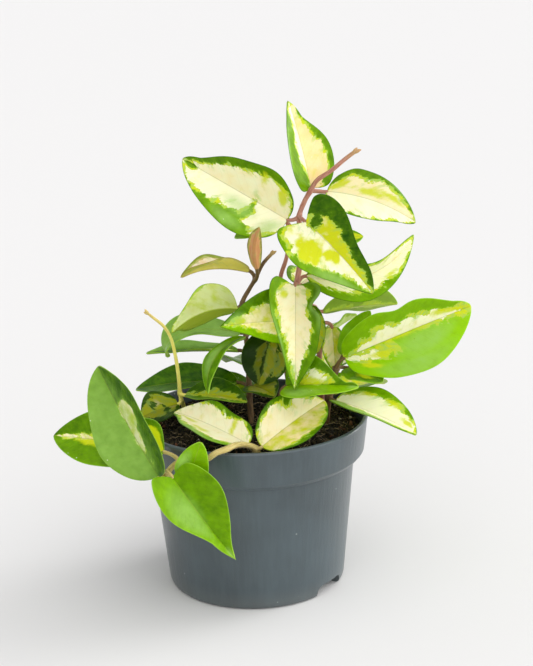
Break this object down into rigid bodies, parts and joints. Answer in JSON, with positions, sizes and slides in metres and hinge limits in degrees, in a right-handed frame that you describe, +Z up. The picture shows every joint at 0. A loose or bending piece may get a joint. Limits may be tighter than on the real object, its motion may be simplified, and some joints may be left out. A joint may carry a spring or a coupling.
{
  "type": "potted hoya plant",
  "caption": "Wax plant with cream and green variegated leaves on thin twining stems, rooted in soil in a round plastic nursery pot with a wide rim band and a trailing shoot.",
  "frame": {"origin": "centre of the pot's base, on the surface that it stands on", "axes": "+Z up along the pot's axis, -Y towards the front of the plant, +X to its right as seen from the front"},
  "size_m": [0.2104, 0.1505, 0.2482],
  "materials": {
    "pot_plastic": "satin",
    "potting_soil": "matte",
    "red_stem": "satin",
    "tan_stem": "matte",
    "cream_leaf": "satin",
    "green_leaf": "satin",
    "young_leaf": "satin"
  },
  "bodies": {
    "root": {"pot": "pot_plastic", "soil": "potting_soil", "stem_tall": "red_stem", "stem_thin": "red_stem", "stem_budding": "red_stem", "stem_right": "red_stem", "stem_middle": "red_stem", "stem_front": "red_stem", "stem_bare": "tan_stem", "stem_trailing": "tan_stem", "leaf_tall_top": "cream_leaf", "leaf_tall_left": "cream_leaf", "leaf_tall_right": "cream_leaf", "leaf_tall_front": "cream_leaf", "leaf_tall_shelf": "cream_leaf", "leaf_tall_hanging": "cream_leaf", "leaf_tall_shaded": "green_leaf", "leaf_tall_low": "cream_leaf", "leaf_tall_rear": "cream_leaf", "leaf_thin_top": "green_leaf", "leaf_thin_inner": "green_leaf", "leaf_thin_rear_high": "cream_leaf", "leaf_thin_rear": "green_leaf", "leaf_budding_young": "young_leaf", "leaf_budding_folded": "young_leaf", "leaf_budding_domed": "cream_leaf", "leaf_budding_grey": "green_leaf", "leaf_budding_flat": "green_leaf", "leaf_budding_droop": "green_leaf", "leaf_budding_rear": "green_leaf", "leaf_budding_big": "green_leaf", "leaf_budding_olive": "cream_leaf", "leaf_budding_rear_low": "green_leaf", "leaf_bare_fold": "green_leaf", "leaf_bare_low": "cream_leaf", "leaf_trailing_upright": "green_leaf", "leaf_trailing_hanging": "green_leaf", "leaf_trailing_left": "green_leaf", "leaf_trailing_over": "green_leaf", "leaf_trailing_soil_left": "cream_leaf", "leaf_trailing_soil_right": "cream_leaf", "leaf_right_big": "green_leaf", "leaf_right_low": "cream_leaf", "leaf_right_dark": "green_leaf", "leaf_right_back": "green_leaf", "leaf_right_rear": "cream_leaf", "leaf_front_fold": "green_leaf", "leaf_middle_rib": "cream_leaf", "leaf_middle_yellow": "cream_leaf", "leaf_middle_under": "green_leaf", "leaf_middle_pale": "green_leaf", "leaf_middle_rear": "cream_leaf", "leaf_middle_rear_low": "green_leaf"}
  },
  "joints": []
}
